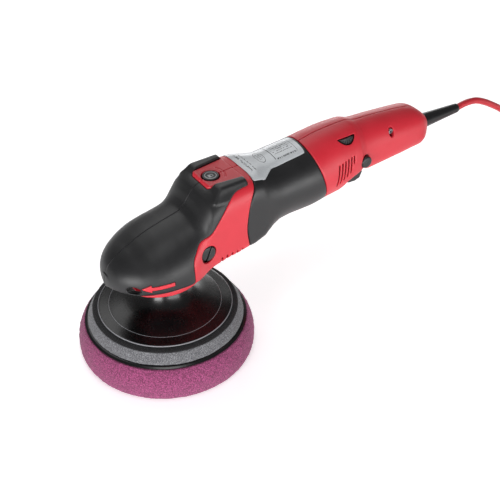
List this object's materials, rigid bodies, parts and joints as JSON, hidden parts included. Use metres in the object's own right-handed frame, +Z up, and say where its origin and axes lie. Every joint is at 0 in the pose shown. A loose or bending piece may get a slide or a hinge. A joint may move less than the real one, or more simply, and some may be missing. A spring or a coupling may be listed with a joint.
{
  "type": "rotary polisher",
  "caption": "Corded rotary polisher with an angled gear head, a rear handle, a trigger, and a foam pad on a round backing plate.",
  "frame": {"origin": "centre of the pad's working face, on the spindle axis", "axes": "+Z up along the spindle, +X back along the motor to the rear handle and the cord, -Y is the tool's left side"},
  "size_m": [0.7191, 0.237, 0.194],
  "materials": {
    "red_housing": "glass-filled nylon, moulded, satin",
    "grip_black": "soft moulded grip layer, fine satin",
    "motor_black": "glass-filled nylon, moulded, satin",
    "control_black": "moulded plastic, satin",
    "label_silver": "printed aluminium foil plate, satin",
    "cast_aluminium": "die cast and machined",
    "machined_steel": "turned and ground",
    "brass": "nickelled brass, drawn",
    "copper_winding": "enamelled copper wire, varnished",
    "carbon": "pressed carbon",
    "inner_plastic": "moulded plastic",
    "rubber_black": "moulded rubber, satin",
    "cord_red": "polyurethane cable sheath, satin",
    "plate_gloss_black": "hard moulded disc, polished",
    "hook_black": "hook and loop fabric",
    "foam_grey": "fine open-cell foam",
    "foam_black": "dense foam",
    "foam_purple": "open-cell cutting foam"
  },
  "bodies": {
    "housing": {"hood_left": "red_housing", "hood_right": "red_housing", "grip_cover_left": "grip_black", "grip_cover_right": "grip_black", "direction_arrow": "red_housing", "handle_plug_left": "control_black", "handle_plug_right": "control_black", "motor_sleeve": "motor_black", "rating_label": "label_silver", "handle_shell_left": "red_housing", "handle_shell_right": "red_housing", "handle_screw": "machined_steel", "strain_relief": "rubber_black", "switch_module": "inner_plastic", "speed_control_board": "inner_plastic", "cord_clamp": "inner_plastic", "stator_stack": "machined_steel", "field_coil_right": "copper_winding", "field_coil_left": "copper_winding", "brush_ring": "inner_plastic", "carbon_brush_right": "carbon", "carbon_brush_left": "carbon", "armature_bearing_front": "machined_steel", "armature_bearing_rear": "machined_steel", "rear_bearing_bracket": "inner_plastic", "gear_housing": "cast_aluminium", "bearing_flange": "cast_aluminium", "spindle_bearing_lower": "machined_steel", "spindle_bearing_upper": "machined_steel", "pinion_bearing_front": "machined_steel", "pinion_bearing_rear": "machined_steel", "gear_carrier": "cast_aluminium", "nose_screw_right": "machined_steel", "nose_screw_left": "machined_steel", "lock_spring": "machined_steel", "cord_tube": "cord_red", "cord_coil": "cord_red", "cord_tail": "cord_red", "plug_body": "rubber_black", "plug_pin_line": "brass", "plug_pin_neutral": "brass"},
    "spindle_and_pad": {"spindle": "machined_steel", "crown_gear": "machined_steel", "backing_plate": "plate_gloss_black", "pad_loop_layer": "hook_black", "pad_grey_foam": "foam_grey", "pad_interlayer": "foam_black", "pad_cutting_foam": "foam_purple"},
    "countershaft": {"bevel_pinion_shaft": "machined_steel", "spur_gear": "machined_steel"},
    "armature": {"armature_shaft": "machined_steel", "armature_stack": "machined_steel", "commutator": "copper_winding", "fan": "inner_plastic"},
    "trigger_paddle": {"trigger": "control_black"},
    "lock_on": {"lock_on_button": "control_black"},
    "spindle_lock": {"spindle_lock_button": "control_black"},
    "dial": {"speed_dial": "control_black"}
  },
  "joints": [
    {"name": "spindle_spin", "type": "hinge", "parent": "housing", "child": "spindle_and_pad", "pos_m": [0, 0, 0.09], "axis": [0, 0, 1], "continuous": true},
    {"name": "countershaft_spin", "type": "hinge", "parent": "housing", "child": "countershaft", "pos_m": [0.05, 0, 0.131], "axis": [1, 0, 0], "continuous": true},
    {"name": "armature_spin", "type": "hinge", "parent": "housing", "child": "armature", "pos_m": [0.12, 0, 0.15], "axis": [1, 0, 0], "continuous": true},
    {"name": "trigger_pull", "type": "hinge", "parent": "housing", "child": "trigger_paddle", "pos_m": [0.218, 0, 0.136], "axis": [0, -1, 0], "range_deg": [0, 7], "stiffness_Nm_per_rad": 0.6, "springref_deg": -5.73},
    {"name": "lock_on_press", "type": "slide", "parent": "housing", "child": "lock_on", "axis": [0, 1, 0], "range_m": [0, 0.003], "stiffness_N_per_m": 400, "springref_m": -0.002},
    {"name": "spindle_lock_press", "type": "slide", "parent": "housing", "child": "spindle_lock", "axis": [0, 0, -1], "range_m": [0, 0.004], "stiffness_N_per_m": 500, "springref_m": -0.002, "deforming": ["lock_spring"]},
    {"name": "speed_dial_turn", "type": "hinge", "parent": "housing", "child": "dial", "pos_m": [0.21, -0.0122, 0.183], "axis": [0, 0, 1], "range_deg": [-135, 135]}
  ],
  "couplings": [
    {"joint": "countershaft_spin", "follows": "spindle_spin", "ratio": 3},
    {"joint": "armature_spin", "follows": "spindle_spin", "ratio": -9}
  ]
}
